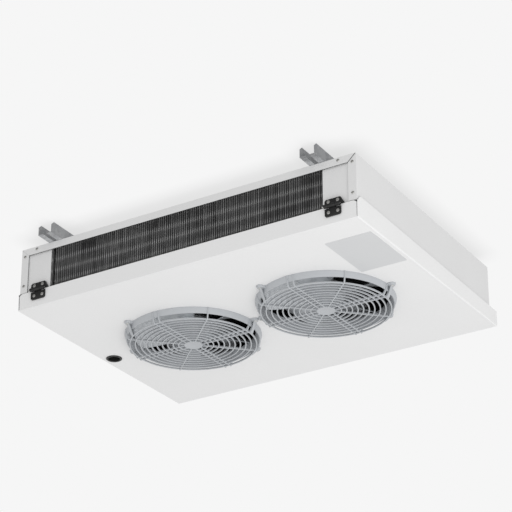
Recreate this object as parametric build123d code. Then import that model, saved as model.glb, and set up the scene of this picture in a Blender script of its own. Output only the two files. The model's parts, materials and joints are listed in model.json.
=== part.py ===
from build123d import *

import os
from math import cos, pi, radians, sin, sqrt

# Slim two-fan unit cooler for a walk-in cold room.
# Frame: millimetres, +Z up. X runs along the length, +Y to the rear. The origin is on the
# ceiling plane (the tops of the hanger brackets), over the centre of the four hanger slots.

os.makedirs("parts", exist_ok=True)

# ---- casing -------------------------------------------------------------------------------
SHEET = 1.2  # painted sheet thickness
HALF_LEN = 390.0  # half length over the side covers
FRONT = -282.0  # face of the top panel's front flange
REAR = 282.0  # outer face of the rear panel
BRACKET_H = 25.0  # hanger channel height, from the casing to the ceiling
TOP = -BRACKET_H  # upper face of the casing
FLANGE_DROP = 16.3  # depth of the top panel's front flange
SKIRT = 99.4  # depth of covers and baffles below the casing top
COVER_LIP = 17.5  # width of the side covers' return flanges
REVEAL = 1.0  # air gap behind the flanges, in front of the baffles
BAFFLE_Y = FRONT + 2 * SHEET + REVEAL  # face of the front baffles
END_SPACE = 73.5  # from each end of the casing to the coil opening, for bends and pipes
OPENING_HALF = HALF_LEN - END_SPACE

# ---- coil ---------------------------------------------------------------------------------
COIL_FACE = FRONT + 8.0
TUBE_ROWS, TUBE_COLS = 4, 3
ROW_PITCH, COL_PITCH = 25.0, 21.65
TUBE_R = 4.76
TUBE_SIDES = 8  # the many slender tubes are drawn with flats to stay light
FIN_T, FIN_PITCH = 0.4, 5.0
FIN_COUNT = int(2 * OPENING_HALF / FIN_PITCH) - 1
COIL_DEPTH = TUBE_COLS * COL_PITCH
COIL_H = TUBE_ROWS * ROW_PITCH - SHEET - 0.6
SHEET_PLATE = 1.5  # tube sheet thickness
TUBE_OVERHANG = 9.0  # tube length beyond each tube sheet

# ---- drain pan ----------------------------------------------------------------------------
PAN_OVER = 2.6  # how far the pan stands out past each side cover
PAN_HALF = HALF_LEN + PAN_OVER
PAN_PAST = 27.0  # how far the pan stands out behind the rear panel
PAN_DEPTH = REAR - FRONT + PAN_PAST
PAN_TILT = 1.3  # fall of the pan towards its hinged edge, degrees
FRONT_LIP, SIDE_LIP, REAR_LIP = 37.0, 47.5, 34.0
BEND = 1.8  # size of the pan's folded edges
RIM_H = 7.0  # turned-up rim that keeps water out of the fan holes
DRAIN_R, DRAIN_INSET = 12.5, 26.6  # drain bore, and its centre from the pan's left side
DRAIN_X = DRAIN_INSET - PAN_HALF

# ---- data plate ---------------------------------------------------------------------------
PLATE_W, PLATE_L = 100.0, 146.0
PLATE_INSET = 9.1  # plate's edge from the pan's right side
PLATE_GAP = 5.8  # plate's nearest corner from the collar

# ---- fans ---------------------------------------------------------------------------------
COLLAR_R = 142.0
FAN_GAP = 32.0  # between the two collars
FAN_X = COLLAR_R + FAN_GAP / 2  # fan centres from the middle
FAN_Y = PAN_DEPTH / 2 - 6.5  # and back from the pan's front edge
DRAIN_Y = FAN_Y + 12.0
FAN_HOLE_R = COLLAR_R - 10
COLLAR_DROP = 12.5  # lower edge of the collar below the pan
GUARD_DROP = 23.6  # outer face of the grille below the pan
RING_FIRST, RING_COUNT = 30.7, 10
RING_PITCH = (COLLAR_R - 10.95 - RING_FIRST) / (RING_COUNT - 1)
RING_W = 2.0
RIB_W = 2.2
RIB_PAIR = 13.0  # distance between the ribs of a pair
HUB_DISC_R = 19.0
EAR_R = COLLAR_R + 8
IMPELLER_R = FAN_HOLE_R - 5.5
BLADES = 5
HUB_R = 38.0
SHAFT_R = 4.0
SHAFT_CLEARANCE = 0.05  # radial, shaft in the motor's bearing
MOTOR_BASE = 46.0  # motor face above the pan

# ---- hinges -------------------------------------------------------------------------------
HINGE_INSETS = (47.0, 50.0)  # left and right hinge centres from the ends of the casing
HINGE_XS = (HINGE_INSETS[0] - HALF_LEN, HALF_LEN - HINGE_INSETS[1])
HINGE_OUT = 4.6  # pin axis in front of the pan's front lip
HINGE_UP = 37.4  # pin axis above the pan's underside
HINGE_Y, HINGE_Z = FRONT - HINGE_OUT, TOP - SKIRT - 1.2
KNUCKLE_R = 4.0
PIN_R = 1.6
PIN_CLEARANCE = 0.06  # radial, pin in the upper leaf

# ---- hangers ------------------------------------------------------------------------------
BRACKET_X = OPENING_HALF - 10.5
BRACKET_W = 33.0
BRACKET_T = 1.5
BRACKET_OUT = 36.0  # how far each bracket stands out past the casing
NOSE = 7.0  # cut-off corner at each end of the bracket's walls
SLOT_W = 9.0
BRACKET_BOLTS = (FRONT + 95.0, REAR - 45.0)  # bolts into the top panel, front and rear


def save(name, shape):
    """Write one piece to its own STEP file."""
    shape.label = name
    export_step(shape, f"parts/{name}.step")


def box(x, y, z):
    """A box between two (low, high) bounds on each axis."""
    size = Box(x[1] - x[0], y[1] - y[0], z[1] - z[0])
    return Pos((x[0] + x[1]) / 2, (y[0] + y[1]) / 2, (z[0] + z[1]) / 2) * size


def rod(start, end, radius):
    """A round bar from one point to another."""
    axis = Vector(*end) - Vector(*start)
    return extrude(Plane(origin=start, z_dir=axis) * Circle(radius), axis.length)


def faceted(sections):
    """A closed skin of flat facets over a row of outlines with the same number of corners."""
    faces = []
    for near, far in zip(sections, sections[1:]):
        for i in range(len(near)):
            j = (i + 1) % len(near)
            for corners in ((near[i], near[j], far[j]), (near[i], far[j], far[i])):
                faces.append(Face(Wire.make_polygon(corners)))
    faces += [Face(Wire.make_polygon(sections[0])), Face(Wire.make_polygon(sections[-1]))]
    solid = Solid(Shell(faces))
    return solid if solid.volume > 0 else Solid(Shell([-face for face in faces]))


def corners(sides, radius, z=0.0):
    """The corners of a regular polygon about Z."""
    turn = 2 * pi / sides
    return [Vector(radius * cos(turn * i), radius * sin(turn * i), z) for i in range(sides)]


def placed(location, points):
    """Points carried from a location's own frame to the world."""
    return [(location * Pos(*point)).position for point in points]


def prism(sides, radius, low, high, top_radius=None):
    """A bar with flats about Z, whose corners lie on the given radius; it may taper upwards."""
    if top_radius is None:
        return extrude(Pos(0, 0, low) * RegularPolygon(radius, sides), high - low)
    return faceted([corners(sides, radius, low), corners(sides, top_radius, high)])


def front_plate(points, y, thickness):
    """A plate outlined in X and Z, from its face at y back by its thickness."""
    face = make_face(Polyline([(px, y, pz) for px, pz in points], close=True))
    return extrude(face, thickness, dir=(0, 1, 0))


def both_hands(name, right):
    """Save a piece for the right end, and its mirror image for the left end."""
    save(f"{name}_right", right)
    save(f"{name}_left", mirror(right, about=Plane.YZ))


# The pan and all it carries are drawn flat: X along, Y back from its front edge, Z up from
# its underside. This location then hangs them on the hinge pins at the pan's fall.
HINGE_AXIS = Pos(0, HINGE_Y, HINGE_Z)
PAN = HINGE_AXIS * Rot(PAN_TILT, 0, 0) * Pos(0, HINGE_OUT, -HINGE_UP)


# ---- casing pieces ------------------------------------------------------------------------
def top_panel():
    """Flat top with a mitred front flange and a stiffening fold at the rear."""
    edge = HALF_LEN - SHEET
    sheet = box((-edge, edge), (FRONT, REAR - SHEET), (TOP - SHEET, TOP))
    low = TOP - FLANGE_DROP
    flange = front_plate(
        [(-edge, TOP), (edge, TOP), (edge - 17, low), (17 - edge, low)], FRONT, SHEET
    )
    inner = HALF_LEN - COVER_LIP - 1
    fold = box((-inner, inner), (REAR - 2 * SHEET, REAR - SHEET), (TOP - 14, TOP))
    panel = sheet + flange + fold - stub_holes()
    bend = panel.edges().filter_by(Axis.X).sort_by(lambda e: (e.center().Y, -e.center().Z))[0]
    panel = chamfer(bend, 0.8)
    return panel - [Pos(x, y, TOP) * prism(8, 4.0, -5, 5) for x, y in bracket_bolt_points()]


def rear_panel():
    """Closes the back, with a fold along its lower edge."""
    edge = HALF_LEN - SHEET
    low = TOP - SKIRT
    sheet = box((-edge, edge), (REAR - SHEET, REAR), (low, TOP))
    fold = box((20 - edge, edge - 20), (REAR - 14, REAR), (low, low + SHEET))
    return sheet + fold - stub_holes()


def side_cover():
    """Right-hand cover: a shallow tray, open inwards, with return flanges all round."""
    inner = HALF_LEN - COVER_LIP
    y = (FRONT + SHEET, REAR - SHEET)
    z = (TOP - SKIRT, TOP - SHEET)
    tray = box((inner, HALF_LEN), y, z)
    tray -= box(
        (inner - 1, HALF_LEN - SHEET),
        (y[0] + SHEET, y[1] - SHEET),
        (z[0] + SHEET, z[1] - SHEET),
    )
    tray += box((HALF_LEN - SHEET, HALF_LEN), y, (z[1] - 1, TOP))
    # the upper return is shorter, so that the tray goes in past the tube bends
    tray -= box((inner - 1, HALF_LEN - 12), (y[0] + 20, y[1] - 20), (z[1] - 2, z[1] + 0.01))
    corner = tray.edges().filter_by(Axis.Y).group_by(Axis.Z)[0].sort_by(Axis.X)[-1]
    return chamfer(corner, 1.0)


def front_baffle():
    """Right-hand blank between the coil opening and the side cover."""
    x = (OPENING_HALF, HALF_LEN - COVER_LIP - 1.0)
    y = BAFFLE_Y
    z = (TOP - SKIRT, TOP - SHEET)
    plate = box(x, (y, y + SHEET), z)
    # a tongue runs on behind the side cover's flange
    plate += box((x[1], x[1] + 6), (y, y + SHEET), (z[0] + 2 * SHEET, z[1] - 2 * SHEET))
    plate += box((x[0] + 20, x[1] - 12), (y, y + 14), (z[0], z[0] + SHEET))
    plate += box((x[0] + 4, x[1]), (y, y + 14), (z[1] - SHEET, z[1]))
    return plate


def tube_points():
    """Tube centres (Y, Z), column by column from the coil's face."""
    return [
        (COIL_FACE + (c + 0.5) * COL_PITCH, TOP - (r + 0.5) * ROW_PITCH)
        for c in range(TUBE_COLS)
        for r in range(TUBE_ROWS)
    ]


def coil_fins():
    """Plate fins at an even pitch; the tubes are expanded into them."""
    low = TOP - TUBE_ROWS * ROW_PITCH + 0.6
    fin = box((-FIN_T / 2, FIN_T / 2), (COIL_FACE, COIL_FACE + COIL_DEPTH), (low, low + COIL_H))
    first = -(FIN_COUNT - 1) / 2 * FIN_PITCH + 1.5
    return Compound(children=[Pos(first + i * FIN_PITCH) * fin for i in range(FIN_COUNT)])


def tube_sheet():
    """Right-hand end plate that carries the coil, with folds at its top and rear."""
    x = OPENING_HALF + SHEET
    y = (BAFFLE_Y + SHEET, COIL_FACE + COIL_DEPTH + 5)
    z = (TOP - SKIRT, TOP - SHEET)
    plate = box((x, x + SHEET_PLATE), y, z)
    plate += box((x, x + 16), (y[0] + 20, y[1]), (z[1] - SHEET_PLATE, z[1]))
    return plate + box((x, x + 12), (y[1] - SHEET_PLATE, y[1]), z)


def coil_tubes():
    """Straight tubes, expanded into both tube sheets and out past them."""
    end = OPENING_HALF + SHEET + SHEET_PLATE + TUBE_OVERHANG
    tube = Rot(0, 90, 0) * prism(TUBE_SIDES, TUBE_R, -end, end)
    return Compound(children=[Pos(0, y, z) * tube for y, z in tube_points()])


def return_bend(first, second, side):
    """U-bend between two tube ends at one end of the coil, in four straight facets."""
    x = side * (OPENING_HALF + SHEET + SHEET_PLATE + TUBE_OVERHANG)
    middle = Vector(x, (first[0] + second[0]) / 2, (first[1] + second[1]) / 2)
    across = Vector(x, *second) - middle
    # local X points across the bend, and local Y away from the coil
    frame = Plane(origin=middle, x_dir=across, z_dir=across.cross(Vector(side, 0, 0))).location
    tube = corners(TUBE_SIDES, TUBE_R)
    around = [Rot(0, 0, 45 * i) * Pos(across.length, 0, 0) * Rot(90, 0, 0) for i in range(5)]
    return faceted([placed(frame * station, tube) for station in around])


def bend_group(pairs, side):
    """All the U-bends at one end. Tubes are numbered as in tube_points."""
    points = tube_points()
    bends = [return_bend(points[a], points[b], side) for a, b in pairs]
    return Compound(children=bends)


LIQUID_R, LIQUID_X, LIQUID_ELBOW = 4.76, HALF_LEN - 49, 10.0
SUCTION_R, SUCTION_X, SUCTION_ELBOW = 7.94, HALF_LEN - 30, 20.0
STUB_OUT = 34.0  # how far the stubs stand out behind the rear panel
STUB_END = 28.0  # length of each stub's end, which is sized for brazing
STUB_GAP = 2.5  # clearance round each pipe where it leaves
# each connection: tube number, pipe radius, distance of the stub from the middle, elbow size
LIQUID = (TUBE_ROWS * 2, LIQUID_R, LIQUID_X, LIQUID_ELBOW)
SUCTION = (TUBE_ROWS, SUCTION_R, SUCTION_X, SUCTION_ELBOW)


def stub_holes():
    """Cutters for the holes through which both pipes leave at the rear."""
    cutters = []
    for number, radius, x, _ in (LIQUID, SUCTION):
        z = tube_points()[number][1]
        cutter = Rot(90, 0, 0) * prism(16, radius + STUB_GAP, -4, 8)
        cutters.append(Pos(-x, REAR, z) * cutter)
    return cutters


def connection(number, radius, x, elbow):
    """A pipe from a tube's left end, round an elbow, to a stub behind the rear panel."""
    y, z = tube_points()[number]
    start = -(OPENING_HALF + SHEET + SHEET_PLATE + TUBE_OVERHANG)
    out = REAR + STUB_OUT
    path = [(start, y, z), (elbow - x, y, z), (-x, y + elbow, z), (-x, out - 2, z)]
    path = [Vector(*point) for point in path]
    ways = [(b - a).normalized() for a, b in zip(path, path[1:])]
    stations = []
    for point, before, after in zip(path, ways[:1] + ways, ways + ways[-1:]):
        along = (before + after).normalized()
        # a mitred section is wider than the pipe in the plane of the bend
        across = along.cross(Vector(0, 0, 1)) * (1 / before.dot(along))
        ring = corners(12, radius - 0.3)
        stations.append([point + across * c.X + Vector(0, 0, c.Y) for c in ring])
    return faceted(stations) + rod((-x, out - STUB_END, z), (-x, out, z), radius)


def terminal_box():
    """Junction box on the right side cover, with its open face inwards."""
    x = (HALF_LEN - SHEET - 46, HALF_LEN - SHEET)
    body = box(x, (20, 140), (TOP - 86, TOP - 26))
    body = chamfer(body.edges().filter_by(Axis.X), 3)
    return body - box((x[0] - 1, x[1] - 2.5), (22.5, 137.5), (TOP - 83.5, TOP - 28.5))


def terminal_lid():
    """Snap-on lid of the junction box."""
    x = HALF_LEN - SHEET - 46
    lid = box((x - 4, x), (20, 140), (TOP - 86, TOP - 26))
    return chamfer(lid.edges().filter_by(Axis.X), 3)


# ---- hangers ------------------------------------------------------------------------------
def bracket_bolt_points():
    """Where the brackets are bolted down to the top panel."""
    return [(sx * BRACKET_X, y) for sx in (-1, 1) for y in BRACKET_BOLTS]


def hanger_bracket():
    """Channel, open upwards, with an open slot and a small closed slot at each end."""
    half = BRACKET_W / 2
    y_end = -FRONT + BRACKET_OUT
    channel = box((-half, half), (-y_end, y_end), (TOP, 0))
    channel -= box((BRACKET_T - half, half - BRACKET_T), (-y_end - 1, y_end + 1), (TOP + BRACKET_T, 1))
    for end in (-1, 1):
        nose = Plane.YZ * make_face(
            Polyline([(end * (y_end - NOSE), 1), (end * (y_end - NOSE), 0), (end * y_end, -NOSE),
                      (end * (y_end + 1), -NOSE), (end * (y_end + 1), 1)], close=True)
        )
        channel -= extrude(nose, 30, both=True)
        slot = Pos(0, end * (y_end - 18), TOP) * Box(SLOT_W, 37, 6)
        slot += Pos(0, end * (y_end - 36), TOP) * prism(16, SLOT_W / 2, -3, 3)
        channel -= slot
    for y in BRACKET_BOLTS:
        channel -= Pos(0, y, TOP) * prism(8, 4.0, -5, 5)
    return channel


def hanger_bolt(x, y):
    """Hexagon bolt down through the bracket and the top panel, with its nut below."""
    bolt = prism(6, 7.2, BRACKET_T, BRACKET_T + 5.3) + prism(6, 7.2, -SHEET - 6.5, -SHEET)
    return Pos(x, y, TOP) * (bolt + prism(8, 4.0, -SHEET - 9, BRACKET_T + 1))


# ---- pan and its pieces, drawn flat in the pan's own frame -----------------------------------
def pan_lip_cutter(side):
    """What is cut away above a side lip, so that it tapers and has a rounded front corner."""
    lip = SIDE_LIP + 5
    with BuildLine() as outline:
        Polyline([(-2, 100), (-2, FRONT_LIP), (3, FRONT_LIP)])
        ThreePointArc((3, FRONT_LIP), (8, SIDE_LIP - 3), (18, SIDE_LIP))
        Polyline([(18, SIDE_LIP), (PAN_DEPTH + 2, REAR_LIP), (PAN_DEPTH + 2, 100), (-2, 100)])
    face = Plane.YZ * make_face(outline.line)
    return Pos(side * (PAN_HALF - 2), 0, 0) * extrude(face, 4, both=True)


def drain_pan():
    """Tray with four lips, two fan holes with turned-up rims, and a drain hole."""
    w, d, h = 2 * PAN_HALF, PAN_DEPTH, SIDE_LIP + 1
    outer = Pos(0, d / 2, h / 2) * Box(w, d, h)
    outer = chamfer(outer.edges().group_by(Axis.Z)[0], BEND)
    inner = Pos(0, d / 2, h / 2 + SHEET) * Box(w - 2 * SHEET, d - 2 * SHEET, h)
    inner = chamfer(inner.edges().group_by(Axis.Z)[0], BEND - 0.5)
    pan = outer - inner
    pan -= pan_lip_cutter(1) + pan_lip_cutter(-1)
    clear = PAN_HALF - SHEET - 0.8
    pan -= box((-clear, clear), (-1, 5), (FRONT_LIP, h + 1))
    pan -= box((-clear, clear), (d - 5, d + 1), (REAR_LIP, h + 1))
    for sx in (-1, 1):
        # the front lip's corners are clipped and stand a little clear of the side lips
        pan -= box(sorted((sx * clear, sx * (clear - 1.0))), (-1, SHEET + 0.4), (BEND + 1, h))
        clip = Plane.XZ * make_face(
            Polyline([(sx * (clear + 1), FRONT_LIP - 5), (sx * (clear - 7), FRONT_LIP + 0.1),
                      (sx * (clear + 1), FRONT_LIP + 0.1)], close=True)
        )
        pan -= Pos(0, 2, 0) * extrude(clip, 6, both=True) & box(
            (-clear - 0.9, clear + 0.9), (-1, SHEET + 0.4), (0, h)
        )
    for x in (-FAN_X, FAN_X):
        pan += Pos(x, FAN_Y, 0) * prism(36, FAN_HOLE_R + SHEET, 0, RIM_H)
        pan -= Pos(x, FAN_Y, 0) * prism(36, FAN_HOLE_R, -10, 20)
    pan -= Pos(DRAIN_X, DRAIN_Y, 0) * prism(16, DRAIN_R + 2.5, -5, 5)
    return pan


def drain_outlet():
    """Flush black outlet: a flange below the pan and a threaded barrel up through it."""
    outlet = prism(20, 17.0, -2, 0) + prism(16, DRAIN_R + 2.5, -1, 8)
    return Pos(DRAIN_X, DRAIN_Y, 0) * (outlet - Cylinder(DRAIN_R, 40))


def drain_nut():
    """Octagonal nut on the outlet's barrel, clamped on the pan's upper face."""
    ring = prism(8, 21.0, SHEET, SHEET + 4) - prism(16, DRAIN_R + 2.5, 0, 10)
    return Pos(DRAIN_X, DRAIN_Y, 0) * ring


def rating_plate():
    """Bare data plate under the pan's right front, clear of the right-hand collar."""
    x = PAN_HALF - PLATE_INSET - PLATE_W / 2
    across = x - PLATE_W / 2 - FAN_X
    # the collar reaches this far forward along the plate's inner edge, or not at all
    reach = sqrt(max(0.0, (COLLAR_R + PLATE_GAP) ** 2 - across**2))
    y = FAN_Y - reach - PLATE_L / 2
    plate = Pos(x, y, -0.3) * Box(PLATE_W, PLATE_L, 0.6)
    return chamfer(plate.edges().filter_by(Axis.Z), 1.5)


# ---- fan guard, drawn about the fan's axis, Z = 0 on the pan's underside ----------------------
def guard_collar():
    """Tapered collar below the pan, with a spigot that centres it in the fan hole."""
    sides, low = 36, -COLLAR_DROP
    collar = prism(sides, COLLAR_R - 3.2, low, -2.5, COLLAR_R) + prism(sides, COLLAR_R, -2.5, 0)
    collar += prism(sides, FAN_HOLE_R - 0.4, 0, 9)
    collar -= prism(sides, COLLAR_R - 5.6, low - 0.1, -2.5, FAN_HOLE_R - 2.6)
    return collar - prism(sides, FAN_HOLE_R - 2.6, -2.6, 10)


def guard_ring(radius):
    """One concentric ring of the grille, with more flats the larger it is."""
    sides = 24 if radius > 100 else 16
    outside, inside = radius + RING_W / 2, radius - RING_W / 2
    ring = RegularPolygon(outside, sides) - RegularPolygon(inside, sides)
    return Pos(0, 0, 2.4 - GUARD_DROP) * extrude(ring, 2.0)


def guard_rib():
    """One radial rib along +X, with its leg up to the collar and a fin on the collar."""
    low, high = -GUARD_DROP, 2.4 - GUARD_DROP
    outline = [(HUB_DISC_R - 3, low), (COLLAR_R - 6, low), (COLLAR_R + 1.2, -2),
               (COLLAR_R + 1.2, 0), (COLLAR_R - 2, 0), (COLLAR_R - 4.2, 1 - COLLAR_DROP),
               (COLLAR_R - 9, high), (HUB_DISC_R - 3, high)]
    return extrude(Plane.XZ * make_face(Polyline(outline, close=True)), RIB_W / 2, both=True)


def guard_ear(angle, turn):
    """Screw ear beside the collar, with a strut that winds down the collar to the grille."""
    ear = Pos(EAR_R, 0, 0) * prism(8, 8.0, -3, 0) + box((COLLAR_R - 3, EAR_R), (-7, 7), (-3, 0))
    square = [Vector(x, 0, z) for x, z in ((-2, -2), (2, -2), (2, 2), (-2, 2))]
    stations = []
    for i in range(4):
        drop = 2 + (GUARD_DROP - 4) * i / 3
        arm = Pos(COLLAR_R + 1.0 - 0.24 * drop, 0, -drop)
        stations.append(placed(Rot(0, 0, turn * 14 * i) * arm, square))
    strut = faceted(stations)
    return Rot(0, 0, angle) * (ear + strut)


def fan_guard():
    """Moulded guard: hub disc, concentric rings, ribs in pairs and singles, collar and ears."""
    guard = prism(16, HUB_DISC_R, -GUARD_DROP, 2.4 - GUARD_DROP)
    for quarter in range(4):
        turn = Rot(0, 0, 90 * quarter)
        for side in (-1, 1):
            guard += turn * Pos(0, side * RIB_PAIR / 2, 0) * guard_rib()
        guard += turn * Rot(0, 0, 45) * guard_rib()
    guard += [guard_ring(RING_FIRST + i * RING_PITCH) for i in range(RING_COUNT)]
    guard += guard_collar()
    for angle, turn in ((0, 1), (60, -1), (180, 1), (240, -1)):
        guard += guard_ear(angle, turn)
    return guard


# ---- fan drive --------------------------------------------------------------------------------
def motor_bracket():
    """Strap across the fan hole, with its feet on the pan, that carries the motor."""
    half, w, t = FAN_HOLE_R + 14, 34.0, 2.5
    strap = box((-w / 2, w / 2), (-half, half), (SHEET, MOTOR_BASE))
    strap -= box((-w, w), (t - half, half - t), (0, MOTOR_BASE - t))
    strap = chamfer(strap.edges().filter_by(Axis.X).group_by(Axis.Z)[-1], 2.0)
    for end in (-1, 1):
        strap += box((-w / 2, w / 2), sorted((end * half, end * (half + 16))), (SHEET, SHEET + t))
    return strap - prism(16, 11.8, MOTOR_BASE - 6, MOTOR_BASE + 1)


def fan_motor():
    """Small motor on the strap, with a nose that passes down through it and a lead boot."""
    body = prism(24, 41, MOTOR_BASE, MOTOR_BASE + 46)
    body += prism(24, 41, MOTOR_BASE + 46, MOTOR_BASE + 54, 34)
    body += prism(16, 11.8, MOTOR_BASE - 6, MOTOR_BASE)
    body += box((-13, 13), (30, 46), (MOTOR_BASE + 2, MOTOR_BASE + 22))
    return body - Pos(0, 0, MOTOR_BASE + 12) * Cylinder(SHAFT_R + SHAFT_CLEARANCE, 50)


def motor_shaft():
    """Shaft from inside the motor down into the impeller's hub."""
    return rod((0, 0, 6), (0, 0, MOTOR_BASE + 30), SHAFT_R)


def impeller_blade():
    """Twisted, cambered blade that widens to the tip, trimmed to the tip circle."""
    def section(radius, chord, pitch, camber):
        half, thick = chord / 2, 2.0
        upper = [(-half, 0), (-half / 3, camber), (half / 3, camber), (half, 0)]
        lower = [(px, pz - thick) for px, pz in reversed(upper)]
        frame = Pos(radius, 0, 13) * Rot(pitch, 0, 0)
        return placed(frame, [Vector(0, px, pz) for px, pz in upper + lower])

    span = [section(HUB_R - 8, 42, 36, 4), section(80, 84, 26, 8), section(130, 120, 19, 10)]
    return faceted(span) & prism(30, IMPELLER_R, -40, 60)


def impeller():
    """Axial impeller with a cup-shaped hub; the shaft is moulded into its boss."""
    hub = prism(20, HUB_R - 5, -1, 4, HUB_R) + prism(20, HUB_R, 4, 29)
    hub += [Rot(0, 0, 360 / BLADES * i) * impeller_blade() for i in range(BLADES)]
    hub -= prism(20, HUB_R - 3, 3, 60)
    return hub + prism(12, 9, 2, 27)


# ---- hinges -----------------------------------------------------------------------------------
def pin_line(x0, x1, radius):
    """A round bar on the hinge axis."""
    return rod((x0, HINGE_Y, HINGE_Z), (x1, HINGE_Y, HINGE_Z), radius)


def knuckle(x0, x1):
    """One knuckle of a hinge, drawn with flats."""
    barrel = Rot(0, 90, 0) * prism(12, KNUCKLE_R, x0, x1)
    return HINGE_AXIS * barrel


def hinge_upper_leaf(x):
    """Fixed leaf: a block on the front baffle, pointed at its right, with two end knuckles."""
    z = HINGE_Z
    outline = [(x - 17, z + 0.6), (x + 25, z + 0.6), (x + 21, z + 6), (x + 17, z + 15),
               (x - 14, z + 15), (x - 17, z + 12)]
    leaf = front_plate(outline, FRONT - 3, 3 + BAFFLE_Y - FRONT)
    # the block clears the moving leaf's knuckle
    leaf -= box((x - 7.6, x + 7.6), (HINGE_Y - 5, HINGE_Y + 5), (z - 5, z + 5))
    leaf += knuckle(x - 17, x - 7.6) + knuckle(x + 7.6, x + 18)
    return leaf - pin_line(x - 30, x + 30, PIN_R + PIN_CLEARANCE)


def hinge_lower_leaf(x):
    """Moving leaf: a block on the pan's front lip with the middle knuckle; holds the pin."""
    z = HINGE_Z
    outline = [(x - 17, z - 1.2), (x + 18, z - 1.2), (x + 18, z - 18.5), (x + 15, z - 21.5),
               (x - 14, z - 21.5), (x - 17, z - 18.5)]
    leaf = front_plate(outline, FRONT - 3, 3)
    for x0, x1 in ((x - 26, x - 7.3), (x + 7.3, x + 26)):
        leaf -= box((x0, x1), (HINGE_Y - 5, HINGE_Y + 5), (z - 4.6, z + 5))
    return leaf + knuckle(x - 7.3, x + 7.3)


def hinge_pin(x):
    """Steel pin, moulded into the middle knuckle, with its plain end standing out at the left."""
    return pin_line(x - 21, x + 18, PIN_R)


# ---- build ------------------------------------------------------------------------------------
def build_casing():
    """Everything that stays fixed to the ceiling."""
    save("top_panel", top_panel())
    save("rear_panel", rear_panel())
    both_hands("side_cover", side_cover())
    both_hands("front_baffle", front_baffle())
    both_hands("tube_sheet", tube_sheet())
    save("coil_fins", coil_fins())
    save("coil_tubes", coil_tubes())
    # one circuit: in at the top of the rear column, out at the top of the middle column
    save("return_bends_right", bend_group([(8, 9), (10, 11), (7, 3), (2, 6), (5, 1), (0, 4)], 1))
    save("return_bends_left", bend_group([(9, 10), (11, 7), (3, 2), (6, 5), (1, 0)], -1))
    save("liquid_pipe", connection(*LIQUID))
    save("suction_pipe", connection(*SUCTION))
    save("terminal_box", terminal_box())
    save("terminal_lid", terminal_lid())
    bracket = hanger_bracket()
    save("hanger_bracket_left", Pos(-BRACKET_X, 0, 0) * bracket)
    save("hanger_bracket_right", Pos(BRACKET_X, 0, 0) * bracket)
    bolts = [hanger_bolt(x, y) for x, y in bracket_bolt_points()]
    save("hanger_bolts_left", Compound(children=bolts[:2]))
    save("hanger_bolts_right", Compound(children=bolts[2:]))


def build_hinges():
    """Both hinges, leaf by leaf."""
    for name, x in zip(("left", "right"), HINGE_XS):
        save(f"hinge_upper_leaf_{name}", hinge_upper_leaf(x))
        moving = HINGE_AXIS * Rot(PAN_TILT, 0, 0) * HINGE_AXIS.inverse() * hinge_lower_leaf(x)
        save(f"hinge_lower_leaf_{name}", moving)
        save(f"hinge_pin_{name}", hinge_pin(x))


def build_pan():
    """The hinged pan and what it carries."""
    save("drain_pan", PAN * drain_pan())
    save("drain_outlet", PAN * drain_outlet())
    save("drain_nut", PAN * drain_nut())
    save("rating_plate", PAN * rating_plate())
    guard, strap, motor = fan_guard(), motor_bracket(), fan_motor()
    shaft, wheel = motor_shaft(), impeller()
    for number, x, rest_angle in ((1, -FAN_X, 62), (2, FAN_X, 2)):
        place = PAN * Pos(x, FAN_Y, 0)
        save(f"fan_guard_{number}", place * guard)
        save(f"motor_bracket_{number}", place * strap)
        save(f"fan_motor_{number}", place * motor)
        save(f"motor_shaft_{number}", place * shaft)
        save(f"impeller_{number}", place * Rot(0, 0, rest_angle) * wheel)


build_casing()
build_hinges()
build_pan()
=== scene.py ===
"""Visual model of a slim ceiling-hung unit cooler: coil, hinged pan, two guarded fans.

Sizes of the cooler are in millimetres, and each mesh is carried into the frame's metres as it
becomes a piece. Sizes of the setting round it are in metres.
"""

import json
import logging
from dataclasses import dataclass, field
from enum import Enum
from math import atan2, cos, pi, radians, sin
from typing import Any, Callable, Iterable, Optional, Sequence

import bmesh
import bpy
from mathutils import Matrix, Vector


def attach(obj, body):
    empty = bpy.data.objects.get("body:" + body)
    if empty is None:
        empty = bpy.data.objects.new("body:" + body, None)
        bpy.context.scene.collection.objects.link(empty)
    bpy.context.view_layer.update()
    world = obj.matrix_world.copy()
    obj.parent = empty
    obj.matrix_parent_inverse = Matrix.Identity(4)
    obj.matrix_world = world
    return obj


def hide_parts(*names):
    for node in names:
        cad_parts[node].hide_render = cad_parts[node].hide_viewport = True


log = logging.getLogger("unit_cooler")

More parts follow.
